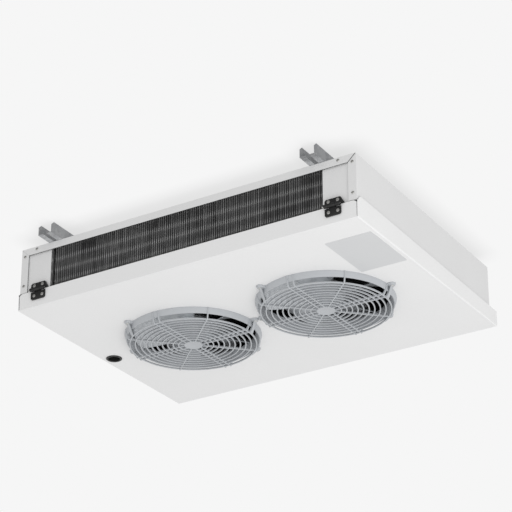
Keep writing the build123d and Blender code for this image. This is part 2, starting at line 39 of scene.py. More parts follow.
MM = 0.001  # one millimetre in the frame's metres
FRONT = -282.0  # face of the casing's front flange, in mm
TOP = -25.0  # upper face of the casing; the ceiling is at 0
COIL_FACE = FRONT + 8.0  # front edges of the fins
COIL_ROW = 25.0  # height of one row of tubes; TOP lies on a whole number of rows
PATTERN_SHARE = 0.55  # how much of a finish's tone comes from its pattern; the rest drifts
DRIFT_SCALE = 9.0  # broad drift of tone and gloss, in waves to the metre
GLOSS_DRIFT = (-0.05, 0.06)  # how far the roughness drifts from its own value
BUMP_STRENGTH = 0.35
WHITE_LIGHT = "#FFFFFF"
Outline = Sequence[tuple[float, float]]
Spot = tuple[float, float, float]
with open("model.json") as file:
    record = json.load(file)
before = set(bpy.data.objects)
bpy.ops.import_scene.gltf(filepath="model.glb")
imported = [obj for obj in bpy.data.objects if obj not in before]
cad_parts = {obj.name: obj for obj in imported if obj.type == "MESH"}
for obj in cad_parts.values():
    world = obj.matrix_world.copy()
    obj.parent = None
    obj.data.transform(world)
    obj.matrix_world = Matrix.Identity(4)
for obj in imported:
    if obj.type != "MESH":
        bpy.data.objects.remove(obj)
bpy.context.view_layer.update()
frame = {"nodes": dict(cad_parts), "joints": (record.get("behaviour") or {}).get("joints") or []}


# ---- colours and nodes -----------------------------------
def linear(hex_colour: str) -> tuple[float, float, float, float]:
    """Turn an sRGB hex colour into linear values with full alpha.

    Args:
        hex_colour: Six hex digits after a hash sign.

    Returns:
        Red, green, blue and alpha, linear.
    """
    values = [int(hex_colour[i:i + 2], 16) / 255 for i in (1, 3, 5)]
    red, green, blue = (v / 12.92 if v <= 0.04045 else ((v + 0.055) / 1.055) ** 2.4
                        for v in values)
    return red, green, blue, 1.0


def add_node(tree: bpy.types.NodeTree, kind: str, settings: dict[str, Any],
             links: dict[Any, bpy.types.NodeSocket]) -> bpy.types.Node:
    """Add a node with its settings and the links into it.

    Args:
        tree: Node tree that takes the node.
        kind: Blender's node type name.
        settings: Node properties, or input values where the key names an input.
        links: Input name or number to the output that feeds it.

    Returns:
        The new node.
    """
    node = tree.nodes.new(kind)
    for key, value in settings.items():
        if hasattr(node, str(key)):
            setattr(node, key, value)
        else:
            node.inputs[key].default_value = value
    for key, output in links.items():
        tree.links.new(output, node.inputs[key])
    return node


class Surface(Enum):
    """How a finish was made, which sets its pattern."""

    POWDER_COAT = "orange peel of a baked powder coat"
    SPANGLE = "zinc crystals of hot-dip galvanising"
    MOULDED = "fine spark-eroded grain of a moulding"
    DRAWN = "fine lengthwise lines of drawn or rolled metal"
    # the pale bands at each row of tube collars are painted highlight, and the fins' pale edges
    # and dark depths are painted light and shade
    FIN_PACK = "fins coated one by one, worn lighter at each row of tube collars"


@dataclass(frozen=True)
class Finish:
    """One real finish: its colours, its gloss and the size of its pattern."""

    name: str
    colour: str
    deep: str
    surface: Surface
    slot: str
    roughness: float
    grain_mm: float
    relief_mm: float
    metallic: float = 0.0
    inner_coat_and_shade: Optional[str] = None
    casing_middle: Spot = (0.0, 0.0, -0.1)
    casing_weights: Spot = (3.0, 4.0, 14.0)
    fin_shade_depth_mm: float = 4.0

    def build(self) -> bpy.types.Material:
        """Make the material, once.

        Returns:
            The material, shared by every piece with this finish.
        """
        found = bpy.data.materials.get(self.name)
        if found:
            return found
        material = bpy.data.materials.new(self.name)
        material.use_nodes = True
        tree = material.node_tree
        shader = tree.nodes["Principled BSDF"]
        shader.inputs["Metallic"].default_value = self.metallic
        place = add_node(tree, "ShaderNodeTexCoord", {}, {}).outputs["Object"]
        grain, height = self.pattern(tree, place)
        drift = add_node(tree, "ShaderNodeTexNoise", {"Scale": DRIFT_SCALE, "Detail": 3.0},
                         {"Vector": place})
        # grain and drift share the range from 0 to 1
        slow = add_node(tree, "ShaderNodeMath", {"operation": "MULTIPLY", 1: 1 - PATTERN_SHARE},
                        {0: drift.outputs["Fac"]})
        mixed = add_node(tree, "ShaderNodeMath", {"operation": "MULTIPLY_ADD", 1: PATTERN_SHARE},
                         {0: grain, 2: slow.outputs[0]})
        tone = add_node(tree, "ShaderNodeMix", {"data_type": "RGBA"}, {"Factor": mixed.outputs[0]})
        tone.inputs[6].default_value = linear(self.deep)
        tone.inputs[7].default_value = linear(self.colour)
        colour = self.with_inner_coat_and_shade(tree, place, tone.outputs[2]) if self.inner_coat_and_shade else tone.outputs[2]
        tree.links.new(colour, shader.inputs["Base Color"])
        gloss = add_node(tree, "ShaderNodeMapRange",
                         {"To Min": self.roughness + GLOSS_DRIFT[0],
                          "To Max": self.roughness + GLOSS_DRIFT[1]},
                         {"Value": drift.outputs["Fac"]})
        tree.links.new(gloss.outputs["Result"], shader.inputs["Roughness"])
        bump = add_node(tree, "ShaderNodeBump",
                        {"Strength": BUMP_STRENGTH, "Distance": self.relief_mm * MM},
                        {"Height": height})
        tree.links.new(bump.outputs["Normal"], shader.inputs["Normal"])
        return material

    def with_inner_coat_and_shade(self, tree: bpy.types.NodeTree, place: bpy.types.NodeSocket,
              outside: bpy.types.NodeSocket) -> bpy.types.NodeSocket:
        """Give the sheet's inner side its backing coat, painted much darker than a real one as
        painted shade inside the casing.

        Args:
            tree: The material's nodes.
            place: Object coordinates, in metres.
            outside: Colour of the outer side.

        Returns:
            The outer colour where the surface faces away from the middle, else the darkened
            backing coat's.
        """
        way = add_node(tree, "ShaderNodeTexCoord", {}, {}).outputs["Normal"]
        # each axis is weighed by the casing's own half size, so the test suits a flat box
        arm = add_node(tree, "ShaderNodeVectorMath",
                       {"operation": "SUBTRACT", 1: self.casing_middle}, {0: place})
        even = add_node(tree, "ShaderNodeVectorMath",
                        {"operation": "MULTIPLY", 1: self.casing_weights}, {0: arm.outputs[0]})
        facing = add_node(tree, "ShaderNodeVectorMath", {"operation": "DOT_PRODUCT"},
                          {0: even.outputs[0], 1: way})
        outer = add_node(tree, "ShaderNodeMath", {"operation": "GREATER_THAN", 1: 0.0},
                         {0: facing.outputs["Value"]})
        choice = add_node(tree, "ShaderNodeMix", {"data_type": "RGBA"}, {0: outer.outputs[0]})
        choice.inputs[6].default_value = linear(self.inner_coat_and_shade)
        tree.links.new(outside, choice.inputs[7])
        return choice.outputs[2]

    def pattern(self, tree: bpy.types.NodeTree, place: bpy.types.NodeSocket
                ) -> tuple[bpy.types.NodeSocket, bpy.types.NodeSocket]:
        """Add the pattern that the finish's making leaves.

        Args:
            tree: The material's nodes.
            place: Object coordinates, in metres.

        Returns:
            The value that drives the colour, and the height that drives the bump.
        """
        scale = 1.0 / (self.grain_mm * MM)
        if self.surface is Surface.SPANGLE:
            cells = add_node(tree, "ShaderNodeTexVoronoi", {"Scale": scale}, {"Vector": place})
            tone = add_node(tree, "ShaderNodeSeparateColor", {}, {"Color": cells.outputs["Color"]})
            return tone.outputs[0], cells.outputs["Distance"]
        if self.surface is Surface.DRAWN:
            long = add_node(tree, "ShaderNodeMapping", {"Scale": (0.04, 1.0, 1.0)},
                            {"Vector": place})
            lines = add_node(tree, "ShaderNodeTexNoise", {"Scale": scale, "Detail": 2.0},
                             {"Vector": long.outputs[0]})
            return lines.outputs["Fac"], lines.outputs["Fac"]
        if self.surface is Surface.FIN_PACK:
            return self.fin_pack(tree, place, scale)
        detail = 1.0 if self.surface is Surface.POWDER_COAT else 4.0
        noise = add_node(tree, "ShaderNodeTexNoise", {"Scale": scale, "Detail": detail},
                         {"Vector": place})
        return noise.outputs["Fac"], noise.outputs["Fac"]

    def fin_pack(self, tree: bpy.types.NodeTree, place: bpy.types.NodeSocket, scale: float
                 ) -> tuple[bpy.types.NodeSocket, bpy.types.NodeSocket]:
        """Add the pattern of a pack of coated fins, with painted highlight and shade.

        Args:
            tree: The material's nodes.
            place: Object coordinates, in metres.
            scale: Sheets to the metre.

        Returns:
            The value that drives the colour, and the height that drives the bump.
        """
        along = add_node(tree, "ShaderNodeMapping", {"Scale": (1.0, 0.02, 0.02)},
                         {"Vector": place})
        sheets = add_node(tree, "ShaderNodeTexNoise", {"Scale": scale, "Detail": 1.0},
                          {"Vector": along.outputs[0]})
        spread = add_node(tree, "ShaderNodeMapRange", {"From Min": 0.36, "From Max": 0.64},
                          {"Value": sheets.outputs["Fac"]})
        # a pale band of painted highlight where the tube collars of each row catch the light
        parts = add_node(tree, "ShaderNodeSeparateXYZ", {}, {0: place}).outputs
        pitch = COIL_ROW * MM
        row = add_node(tree, "ShaderNodeMath", {"operation": "PINGPONG", 1: 0.5 * pitch},
                       {0: parts["Z"]})
        collar_highlight = add_node(tree, "ShaderNodeMapRange",
                        {"From Min": 0.2 * pitch, "From Max": 0.5 * pitch, "To Min": 0.0,
                         "To Max": 0.8, "interpolation_type": "SMOOTHSTEP"},
                        {"Value": row.outputs[0]})
        tone = add_node(tree, "ShaderNodeMath", {"operation": "MULTIPLY_ADD", 1: 0.7},
                        {0: spread.outputs["Result"], 2: collar_highlight.outputs["Result"]})
        # painted highlight and shade: the sheets are palest at their cut front edges and blacken
        # within a few millimetres, where shade falls between them
        painted_light = add_node(tree, "ShaderNodeMapRange",
                        {"From Min": COIL_FACE * MM,
                         "From Max": (COIL_FACE + self.fin_shade_depth_mm) * MM, "To Min": 1.0,
                         "To Max": 0.12}, {"Value": parts["Y"]})
        shown = add_node(tree, "ShaderNodeMath", {"operation": "MULTIPLY"},
                         {0: tone.outputs[0], 1: painted_light.outputs["Result"]})
        return shown.outputs[0], sheets.outputs["Fac"]


# Baked white polyester coat on steel sheet: even, semi-gloss, a faint orange peel of about
# 1.5 mm, drawn coarser so that it shows. The sheet's inner side has a grey backing coat, painted
# much darker than a real one as painted shade inside the casing.
# The casing's white is greyed a shade as painted shade, so the casing reads darker than the pan.
WHITE_COAT = Finish("white_polyester_coat", "#E6E6E6", "#DEDEDE", Surface.POWDER_COAT,
                    "white_sheet", roughness=0.42, grain_mm=3.0, relief_mm=0.05, inner_coat_and_shade="#4C4E50")
# The pan takes the same coat a shade whiter and a little flatter; the whiter tone is painted
# light, so that its lips and its underside read as one pale shape below the casing, greyed as
# painted shade.
PAN_COAT = Finish("white_pan_coat", "#EFEFEF", "#E7E7E7", Surface.POWDER_COAT, "white_sheet",
                  roughness=0.55, grain_mm=3.0, relief_mm=0.05, inner_coat_and_shade="#4C4E50")
# Hot-dip galvanised channel: dull zinc with 7 mm crystals that turn the light differently.
ZINC = Finish("hot_dip_zinc", "#DADBDC", "#B4B6B9", Surface.SPANGLE, "galvanised_steel",
              roughness=0.45, metallic=0.75, grain_mm=7.0, relief_mm=0.02)
# Bright zinc-plated fasteners and shafts, turned and passivated: fine lines, clean gleam.
PLATED = Finish("zinc_plated_steel", "#DCDBD8", "#B9B9B6", Surface.DRAWN, "plated_steel",
                roughness=0.3, metallic=0.85, grain_mm=0.6, relief_mm=0.01)
# Black epoxy-coated aluminium fins: satin; some sheets are greyer than others. Their cut edges are
# painted pale as highlight, they blacken inward as painted shade, and soft grey bands of painted
# highlight cross them all where the tube collars press through.
BLACK_FIN = Finish("black_epoxy_fins", "#BEBEBE", "#1E1E1F", Surface.FIN_PACK, "dark_fins",
                   roughness=0.46, grain_mm=1.8, relief_mm=0.02)
# The same epoxy over the copper tubes: thicker, rounder; coloured pale grey, far lighter than the
# black fins, as painted highlight.
COATED_TUBE = Finish("epoxy_coated_tube", "#B4B4B3", "#969695", Surface.MOULDED, "copper",
                     roughness=0.4, grain_mm=2.0, relief_mm=0.03)
# Bare drawn copper, handled and a little dull.
COPPER = Finish("drawn_copper", "#B8734E", "#8E5238", Surface.DRAWN, "copper",
                roughness=0.36, metallic=0.95, grain_mm=0.8, relief_mm=0.01)
# Glass-filled polypropylene guard: pale blue-grey, matt, with the grain of a spark-eroded tool.
GUARD_GREY = Finish("glass_filled_pp_guard", "#BEC1C4", "#B0B3B7", Surface.MOULDED, "grey_guard",
                    roughness=0.5, grain_mm=1.0, relief_mm=0.03)
# Impeller of polypropylene with silver flake, from a smoother tool: it takes up the pale floor.
BLADE_GREY = Finish("moulded_pp_impeller", "#D2D5D8", "#C2C6CA", Surface.MOULDED, "grey_impeller",
                    roughness=0.24, metallic=0.5, grain_mm=1.4, relief_mm=0.02)
# Cathodic black paint on the die-cast motor: low sheen.
MOTOR_BLACK = Finish("black_motor_paint", "#262626", "#181818", Surface.MOULDED, "black_motor",
                     roughness=0.5, grain_mm=1.2, relief_mm=0.04)
# Grey ABS junction box: matt with a light texture.
BOX_GREY = Finish("grey_abs_box", "#A6A8A9", "#9A9C9D", Surface.MOULDED, "grey_box",
                  roughness=0.55, grain_mm=0.9, relief_mm=0.03)
# Satin silver polyester foil of the blank data plate.
SILVER_FOIL = Finish("satin_silver_foil", "#DCDDDE", "#D3D4D5", Surface.DRAWN, "silver_plate",
                     roughness=0.45, metallic=0.25, grain_mm=1.2, relief_mm=0.01)
# Black nylon hinges and outlet: matt, faintly grained.
BLACK_NYLON = Finish("black_moulded_nylon", "#262626", "#191919", Surface.MOULDED,
                     "black_plastic", roughness=0.46, grain_mm=0.9, relief_mm=0.03)


# ---- mesh tools ------------------------------------------
def spun(profile: Outline, steps: int = 96, closed: bool = True) -> bmesh.types.BMesh:
    """Spin a profile about Z.

    Args:
        profile: Radius and height of each point.
        steps: Steps in the full turn.
        closed: Whether the last point joins the first.

    Returns:
        A closed surface with its faces outwards.
    """
    mesh = bmesh.new()
    verts = [mesh.verts.new((r, 0.0, z)) for r, z in profile]
    after = verts[1:] + verts[:1] if closed else verts[1:]
    edges = [mesh.edges.new(pair) for pair in zip(verts, after)]
    bmesh.ops.spin(mesh, geom=verts + edges, cent=(0, 0, 0), axis=(0, 0, 1), dvec=(0, 0, 0),
                   angle=2 * pi, steps=steps, use_merge=True)
    bmesh.ops.remove_doubles(mesh, verts=mesh.verts, dist=1e-5)
    bmesh.ops.recalc_face_normals(mesh, faces=mesh.faces)
    return mesh


def slab(outline: Outline, low: float, high: float) -> bmesh.types.BMesh:
    """Extrude an outline in X and Y from one height to another."""
    mesh = bmesh.new()
    face = mesh.faces.new([mesh.verts.new((x, y, low)) for x, y in outline])
    raised = bmesh.ops.extrude_face_region(mesh, geom=[face])
    verts = [item for item in raised["geom"] if isinstance(item, bmesh.types.BMVert)]
    bmesh.ops.translate(mesh, verts=verts, vec=(0, 0, high - low))
    bmesh.ops.recalc_face_normals(mesh, faces=mesh.faces)
    return mesh


def block(x: tuple[float, float], y: tuple[float, float], z: tuple[float, float]
          ) -> bmesh.types.BMesh:
    """A box between bounds on each axis."""
    return slab([(x[0], y[0]), (x[1], y[0]), (x[1], y[1]), (x[0], y[1])], *z)


def bar(radius: float, low: float, high: float, sides: int = 32) -> bmesh.types.BMesh:
    """A round bar about Z."""
    mesh = bmesh.new()
    bmesh.ops.create_cone(mesh, cap_ends=True, segments=sides, radius1=radius, radius2=radius,
                          depth=high - low, matrix=Matrix.Translation((0, 0, (low + high) / 2)))
    return mesh


def softened(mesh: bmesh.types.BMesh, width: float, segments: int = 2, angle: float = 35.0
             ) -> bmesh.types.BMesh:
    """Round every edge that turns by more than an angle.

    Args:
        mesh: Mesh to round.
        width: Size of the rounding.
        segments: Steps across it.
        angle: Least turn between faces, in degrees.

    Returns:
        The same mesh.
    """
    sharp = [e for e in mesh.edges if e.is_manifold and e.calc_face_angle(0.0) > radians(angle)]
    bmesh.ops.bevel(mesh, geom=sharp, offset=width, offset_type="OFFSET", affect="EDGES",
                    segments=segments, profile=0.5, material=-1, clamp_overlap=True)
    return mesh


def moved(mesh: bmesh.types.BMesh, matrix: Matrix) -> bmesh.types.BMesh:
    """Carry a mesh by a matrix and keep its faces outwards."""
    mesh.transform(matrix)
    if matrix.determinant() < 0:
        bmesh.ops.reverse_faces(mesh, faces=mesh.faces)
    return mesh


def copied(mesh: bmesh.types.BMesh, matrix: Matrix) -> bmesh.types.BMesh:
    """A copy of a mesh, carried by a matrix."""
    return moved(mesh.copy(), matrix)


def stored(name: str, mesh: bmesh.types.BMesh) -> bpy.types.Mesh:
    """Write a mesh out under a name and free it."""
    data = bpy.data.meshes.new(name)
    mesh.to_mesh(data)
    mesh.free()
    return data


def linked(name: str, data: Any) -> bpy.types.Object:
    """Make an object for some data and link it into the scene."""
    item = bpy.data.objects.new(name, data)
    bpy.context.scene.collection.objects.link(item)
    return item


def joined(meshes: Iterable[bmesh.types.BMesh]) -> bmesh.types.BMesh:
    """Put several meshes into one and free them."""
    whole = bmesh.new()
    for mesh in meshes:
        carrier = stored("carrier", mesh)
        whole.from_mesh(carrier)
        bpy.data.meshes.remove(carrier)
    return whole


def turn_z(degrees: float) -> Matrix:
    """Rotation about Z."""
    return Matrix.Rotation(radians(degrees), 4, "Z")


def shift(x: float, y: float, z: float) -> Matrix:
    """Translation."""
    return Matrix.Translation((x, y, z))


MILLIMETRES = Matrix.Scale(MM, 4)


def piece(name: str, mesh: bmesh.types.BMesh, finish: Finish, body: str,
          stands_for: Sequence[str] = (), smooth_angle: float = 32.0) -> bpy.types.Object:
    """Store a finished mesh as a piece of the cooler.

    Args:
        name: Piece name.
        mesh: Mesh in metres, in place.
        finish: Its finish.
        body: Moving body that it rides on.
        stands_for: Nodes that it is shown in place of.
        smooth_angle: Edges that turn by more stay crisp.

    Returns:
        The new object.
    """
    data = stored(name, mesh)
    data.shade_smooth()
    data.set_sharp_from_angle(angle=radians(smooth_angle))
    data.materials.append(finish.build())
    item = linked(name, data)
    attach(item, body)
    if stands_for:
        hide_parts(*stands_for)
    log.info("%s: %d faces on %s", name, len(data.polygons), body)
    return item


def dress(finish: Finish, *nodes: str) -> None:
    """Give carried-over nodes their finish."""
    for node in nodes:
        slots = frame["nodes"][node].material_slots
        for place in slots:
            place.material = finish.build()
        if not slots:
            frame["nodes"][node].data.materials.append(finish.build())
        log.info("%s: dressed in %s", node, finish.name)


def joint(name: str) -> dict[str, Any]:
    """The record of one joint."""
    return next(j for j in frame["joints"] if j["name"] == name)


# ---- where things are ------------------------------------
HINGE = Vector(joint("pan_hinge")["pos_m"]) / MM
FAN_AXIS = Vector(joint("fan_1_spin")["axis"])
TILT = atan2(-FAN_AXIS.y, FAN_AXIS.z)
PAN_FROM_HINGE = shift(0, 4.6, -37.4)
# the pan is drawn flat: X along, Y back from its front edge, Z up from its underside
PAN = Matrix.Translation(HINGE) @ Matrix.Rotation(TILT, 4, "X") @ PAN_FROM_HINGE
FORWARD = Matrix.Rotation(radians(90), 4, "X")  # turns Z to -Y, out of the front face
DOWNWARD = Matrix.Rotation(radians(180), 4, "X")  # turns Z to -Z, out of the underside


def fan_place(number: int) -> Matrix:
    """Frame of one fan, on the pan's underside, with Z along its axis."""
    centre = Vector(joint(f"fan_{number}_spin")["pos_m"]) / MM
    return Matrix.Translation(centre) @ Matrix.Rotation(TILT, 4, "X")


# ---- screws ----------------------------------------------
@dataclass
class Screws:
    """Cross-recessed screw heads, made once and set wherever a piece is screwed down."""

    radius: float = 3.2
    height: float = 1.5
    recess: float = 1.1
    root: float = 1.2
    turn_between: float = 23.0

    def head(self) -> bmesh.types.BMesh:
        """A domed head, standing up from Z = 0, with a cross recess."""
        r, h = self.radius, self.height
        dome = spun([(0, -self.root), (r * 0.8, -self.root), (r, 0), (r * 0.98, h * 0.35),
                     (r * 0.82, h * 0.75), (r * 0.5, h * 0.97), (0, h)], 28, closed=False)
        long, wide = (-r * 0.62, r * 0.62), (-self.recess / 2, self.recess / 2)
        for x, y in ((long, wide), (wide, long)):
            dome = self.cut(dome, block(x, y, (h * 0.25, h + 1)))
        return dome

    def cut(self, mesh: bmesh.types.BMesh, cutter: bmesh.types.BMesh) -> bmesh.types.BMesh:
        """Take one closed mesh away from another.

        Args:
            mesh: What is cut.
            cutter: What is taken away.

        Returns:
            What is left.
        """
        objects = [linked("cut", stored("cut", source)) for source in (mesh, cutter)]
        modifier = objects[0].modifiers.new("cut", "BOOLEAN")
        modifier.operation, modifier.solver, modifier.object = "DIFFERENCE", "EXACT", objects[1]
        bpy.context.view_layer.update()
        shaped = objects[0].evaluated_get(bpy.context.evaluated_depsgraph_get())
        result = bmesh.new()
        result.from_mesh(shaped.to_mesh())
        shaped.to_mesh_clear()
        for item in objects:
            bpy.data.meshes.remove(item.data)
        return result

    def place(self, name: str, body: str, spots: Sequence[Matrix]) -> None:
        """Set a head at each spot, as one piece.

        Args:
            name: Piece name.
            body: Body that the screws ride on.
            spots: Where each head stands, with its Z outwards, in millimetres.
        """
        head = self.head()
        heads = [copied(head, spot @ turn_z(self.turn_between * number))
                 for number, spot in enumerate(spots)]
        head.free()
        piece(name, moved(joined(heads), MILLIMETRES), PLATED, body)


# ---- casing ----------------------------------------------
@dataclass
class Casing:
    """Folded sheets, hangers and what is fixed to them."""

    half_length: float = 390.0
    sheet: float = 1.2
    flange_drop: float = 16.3
    flange_screw_x: float = 352.0
    flange_screw_drop: float = 6.5
    cover_screw_x: float = 382.0
    cover_screw_drops: tuple[float, float] = (17.0, 83.5)
    shade_strip_run: float = 17.0
    shade_strip_width: float = 1.04
    shade_strip_back: float = 0.5

    def build(self) -> None:
        """Dress the sheets and set their screws."""
        dress(WHITE_COAT, "top_panel", "rear_panel", "side_cover_left", "side_cover_right",
              "front_baffle_left", "front_baffle_right")
        dress(PAN_COAT, "drain_pan")
        dress(ZINC, "hanger_bracket_left", "hanger_bracket_right", "motor_bracket_1",
              "motor_bracket_2")
        dress(PLATED, "hanger_bolts_left", "hanger_bolts_right", "hinge_pin_left",
              "hinge_pin_right", "motor_shaft_1", "motor_shaft_2")
        dress(BOX_GREY, "terminal_box", "terminal_lid")
        dress(SILVER_FOIL, "rating_plate")
        spots = [shift(side * self.flange_screw_x, FRONT, TOP - self.flange_screw_drop) @ FORWARD
                 for side in (-1, 1)]
        spots += [shift(side * self.cover_screw_x, FRONT + self.sheet, TOP - drop) @ FORWARD
                  for side in (-1, 1) for drop in self.cover_screw_drops]
        Screws().place("casing_screws", "casing", spots)
        # a dark strip of painted shade in the right-hand joint of the top flange
        piece("flange_joint_shade_strip", self.joint_shade_strip(), BLACK_NYLON, "casing")

    def joint_shade_strip(self) -> bmesh.types.BMesh:
        """Dark strip of painted shade in the right-hand mitred joint of the top flange, standing
        in for the shadow in the joint's gap; the left one is tight.
        """
        edge, low = self.half_length - self.sheet, TOP - self.flange_drop
        inner, width = edge - self.shade_strip_run, self.shade_strip_width
        outline = [(inner, low), (edge, TOP), (edge, TOP - width), (inner + width, low)]
        return moved(slab(outline, -FRONT - self.sheet, -FRONT - self.shade_strip_back),
                     MILLIMETRES @ FORWARD)


# ---- coil ------------------------------------------------
@dataclass
class Coil:
    """Fin-and-tube coil with its return bends and pipe ends."""

    tube_radius: float = 4.76
    rows: int = 4
    columns: int = 3
    row_pitch: float = COIL_ROW
    column_pitch: float = 21.65
    half_length: float = 328.2
    finned_half: float = 308.6
    face: float = COIL_FACE
    right_bends: tuple[tuple[int, int], ...] = ((8, 9), (10, 11), (7, 3), (2, 6), (5, 1), (0, 4))
    left_bends: tuple[tuple[int, int], ...] = ((9, 10), (11, 7), (3, 2), (6, 5), (1, 0))

    def centres(self) -> list[tuple[float, float]]:
        """Y and Z of each tube, column by column from the face."""
        return [(self.face + (c + 0.5) * self.column_pitch, TOP - (r + 0.5) * self.row_pitch)
                for c in range(self.columns) for r in range(self.rows)]

    def tubes(self, low: float, high: float) -> bmesh.types.BMesh:
        """Straight round tubes along X, from one distance to another."""
        lay = Matrix.Rotation(radians(90), 4, "Y")
        return joined(moved(bar(self.tube_radius, low, high, 24), shift(0, y, z) @ lay)
                      for y, z in self.centres())

    def bend(self, first: tuple[float, float], second: tuple[float, float], side: int
             ) -> bmesh.types.BMesh:
        """A round U-bend between two tube ends.

        Args:
            first: Y and Z of one tube.
            second: Y and Z of the other.
            side: 1 for the right end, -1 for the left.

        Returns:
            The bend, closed at both ends.
        """
        mesh = bmesh.new()
        start = Vector((side * self.half_length, *first))
        across = Vector((0, second[0] - first[0], second[1] - first[1]))
        section = bmesh.ops.create_circle(
            mesh, cap_ends=False, segments=20, radius=self.tube_radius,
            matrix=Matrix.Translation(start) @ Matrix.Rotation(radians(90), 4, "Y"))
        edges = list({e for v in section["verts"] for e in v.link_edges})
        bmesh.ops.spin(mesh, geom=section["verts"] + edges, cent=start + across / 2,
                       axis=Vector((side, 0, 0)).cross(across).normalized(), dvec=(0, 0, 0),
                       angle=pi, steps=18, use_merge=False)
        if max(v.co.x * side for v in mesh.verts) < self.half_length + 2:
            raise ValueError("a return bend turned into the coil")
        bmesh.ops.holes_fill(mesh, edges=[e for e in mesh.edges if e.is_boundary])
        bmesh.ops.recalc_face_normals(mesh, faces=mesh.faces)
        return mesh

    def build(self) -> None:
        """Make the tubes and bends and dress the fins."""
        dress(BLACK_FIN, "coil_fins", "tube_sheet_left", "tube_sheet_right")
        dress(COPPER, "liquid_pipe", "suction_pipe")
        end, fins = self.half_length, self.finned_half
        piece("coil_tubes_round", moved(self.tubes(-fins, fins), MILLIMETRES), COATED_TUBE,
              "casing", ["coil_tubes"])
        ends = joined([self.tubes(-end, -fins), self.tubes(fins, end)])
        piece("coil_tube_ends", moved(ends, MILLIMETRES), BLACK_NYLON, "casing")
        spots = self.centres()
        for name, side, pairs in (("right", 1, self.right_bends), ("left", -1, self.left_bends)):
            bends = joined(self.bend(spots[a], spots[b], side) for a, b in pairs)
            piece(f"return_bends_round_{name}", moved(bends, MILLIMETRES), COPPER, "casing",
                  [f"return_bends_{name}"])


# ---- hinges ----------------------------------------------
@dataclass
class Hinges:
    """Two black leaf hinges along the front edge of the pan."""

    centres: tuple[float, float] = (-343.0, 340.0)
    knuckle: float = 4.0
    bore: float = 1.66
    middle_knuckle: float = 7.3
    outer_knuckles: tuple[tuple[float, float], ...] = ((-17.0, -7.6), (7.6, 18.0))
    leaf_front: float = -1.6
    upper_depth: float = 8.0
    lower_depth: float = 4.6
    rounding: float = 0.7
    screw_x: tuple[float, float] = (-8.5, 11.5)
    screw_seat: float = 1.5
    upper_screw_z: float = 9.2
    lower_screw_z: float = -13.2

    def upper_leaf(self) -> bmesh.types.BMesh:
        """Fixed leaf about the hinge point: X along, Y to the rear, Z up."""
        outline = [(-17, 0.6), (-7.6, 0.6), (-7.6, 5), (7.6, 5), (7.6, 0.6), (25, 0.6), (21.5, 6),
                   (17, 15), (-14, 15), (-17, 12)]
        leaf = softened(slab(outline, -self.upper_depth, self.leaf_front), self.rounding)
        barrels = [self.barrel(low, high) for low, high in self.outer_knuckles]
        return joined([moved(leaf, FORWARD), *barrels])

    def lower_leaf(self) -> bmesh.types.BMesh:
        """Moving leaf about the hinge point."""
        end = self.middle_knuckle
        outline = [(-end, -1.2), (-end, -4.8), (-17, -4.8), (-17, -18.5), (-14, -21.5),
                   (15, -21.5), (18, -18.5), (18, -4.8), (end, -4.8), (end, -1.2)]
        leaf = softened(slab(outline, -self.lower_depth, self.leaf_front), self.rounding)
        return joined([moved(leaf, FORWARD), self.barrel(-end, end)])

    def barrel(self, low: float, high: float) -> bmesh.types.BMesh:
        """One knuckle along X."""
        tube = spun([(self.bore, low), (self.knuckle, low), (self.knuckle, high),
                     (self.bore, high)], 32)
        return moved(softened(tube, 0.4), Matrix.Rotation(radians(90), 4, "Y"))

    def build(self) -> None:
        """Make both hinges and set their screws."""
        upper, lower = [], []
        for name, x in zip(("left", "right"), self.centres):
            fixed = Matrix.Translation((x, HINGE.y, HINGE.z))
            moving = fixed @ Matrix.Rotation(TILT, 4, "X")
            piece(f"upper_leaf_{name}", moved(self.upper_leaf(), MILLIMETRES @ fixed),
                  BLACK_NYLON, "casing", [f"hinge_upper_leaf_{name}"])
            piece(f"lower_leaf_{name}", moved(self.lower_leaf(), MILLIMETRES @ moving),
                  BLACK_NYLON, "fan_panel", [f"hinge_lower_leaf_{name}"])
            for dx in self.screw_x:
                upper.append(fixed @ shift(dx, self.screw_seat, self.upper_screw_z) @ FORWARD)
                lower.append(moving @ shift(dx, self.screw_seat, self.lower_screw_z) @ FORWARD)
        screws = Screws(radius=3.5, height=0.8, recess=1.2)
        screws.place("hinge_screws_upper", "casing", upper)
        screws.place("hinge_screws_lower", "fan_panel", lower)


